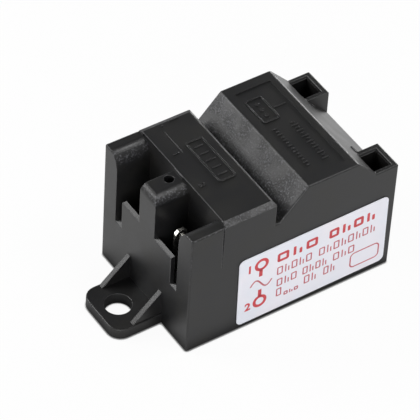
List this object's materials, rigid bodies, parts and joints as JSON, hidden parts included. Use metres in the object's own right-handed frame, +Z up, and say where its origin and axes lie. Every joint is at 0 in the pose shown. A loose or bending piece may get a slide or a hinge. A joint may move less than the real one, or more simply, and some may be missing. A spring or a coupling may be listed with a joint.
{
  "type": "gas burner igniter",
  "caption": "Potted spark igniter in a black moulded housing with two supply pockets, a grooved top, two high-voltage towers and a screw lug.",
  "frame": {"origin": "centre of the bounding box at the base, on the plane that the housing stands on", "axes": "+X from the lug at the front to the high-voltage towers at the rear, +Y from the label side to the far side, +Z up"},
  "size_m": [0.0604, 0.0322, 0.033],
  "materials": {
    "black_moulded_plastic": "fine spark-eroded moulded texture",
    "black_casting_resin": "self-levelled, glossy",
    "white_label_film": "printed film, satin",
    "tinned_brass": "bright tin plating",
    "board_laminate": "paper laminate",
    "capacitor_box": "moulded box",
    "resistor_coating": "dipped coating",
    "diode_moulding": "moulded",
    "natural_nylon": "moulded, unpigmented",
    "sintered_ferrite": "ground",
    "enamelled_copper": "enamelled wire",
    "silicone_sleeve": "smooth"
  },
  "bodies": {
    "root": {"housing": "black_moulded_plastic", "potting_resin": "black_casting_resin", "rating_label": "white_label_film", "input_blade_1": "tinned_brass", "input_blade_2": "tinned_brass", "hv_contact_1": "tinned_brass", "hv_contact_2": "tinned_brass", "circuit_board": "board_laminate", "storage_capacitor": "capacitor_box", "charging_resistor": "resistor_coating", "rectifier_diode": "diode_moulding", "trigger_diode": "diode_moulding", "coil_former": "natural_nylon", "ferrite_rod": "sintered_ferrite", "primary_winding": "enamelled_copper", "secondary_winding_1": "enamelled_copper", "secondary_winding_2": "enamelled_copper", "secondary_winding_3": "enamelled_copper", "secondary_winding_4": "enamelled_copper", "primary_lead_1": "enamelled_copper", "primary_lead_2": "enamelled_copper", "hv_lead_1": "silicone_sleeve", "hv_lead_2": "silicone_sleeve"}
  },
  "joints": []
}
